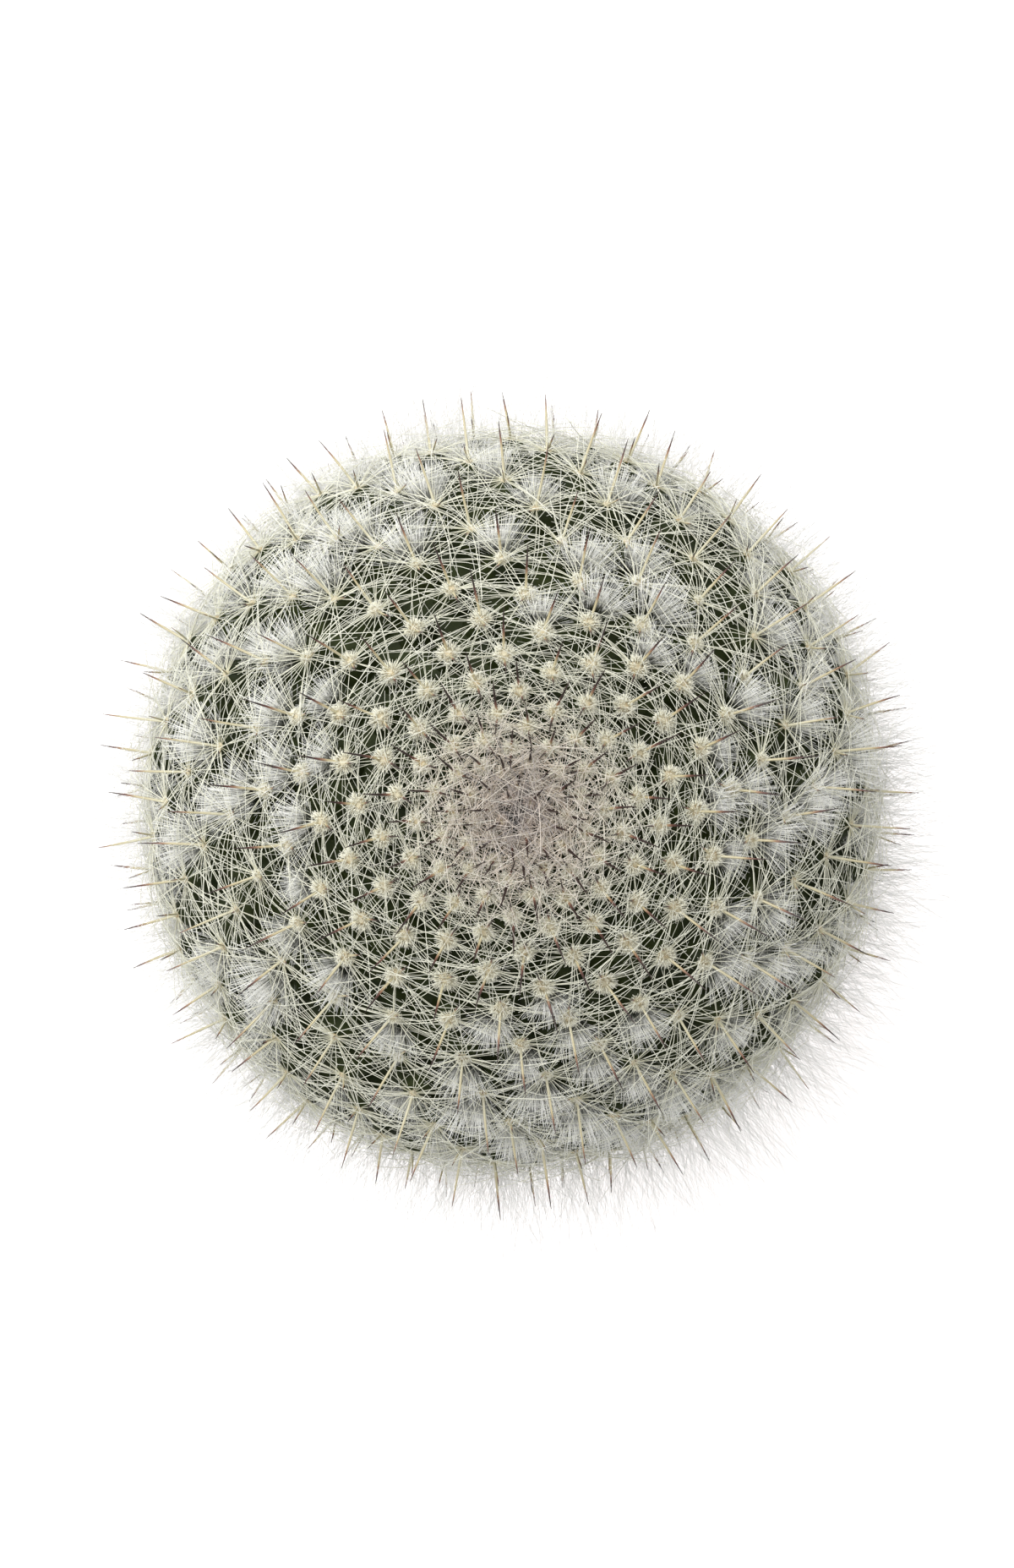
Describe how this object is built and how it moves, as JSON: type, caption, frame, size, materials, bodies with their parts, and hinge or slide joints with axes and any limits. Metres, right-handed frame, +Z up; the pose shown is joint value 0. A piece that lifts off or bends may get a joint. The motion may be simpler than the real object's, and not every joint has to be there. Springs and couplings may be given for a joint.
{
  "type": "potted cactus",
  "caption": "Round white-haired cactus with spiral rows of spiny tubercles, standing in gritty soil in a plain tapered terracotta pot.",
  "frame": {"origin": "centre of the pot's underside, on the surface that the pot stands on", "axes": "+Z up through the crown of the stem; the pot is round about it"},
  "size_m": [0.1067, 0.1065, 0.149],
  "materials": {
    "terracotta": "unglazed fired clay, matte",
    "compost": "dry gritty compost, matte",
    "green_flesh": "dark green skin under pale spines"
  },
  "bodies": {
    "root": {"pot": "terracotta", "soil": "compost", "stem": "green_flesh"}
  },
  "joints": []
}
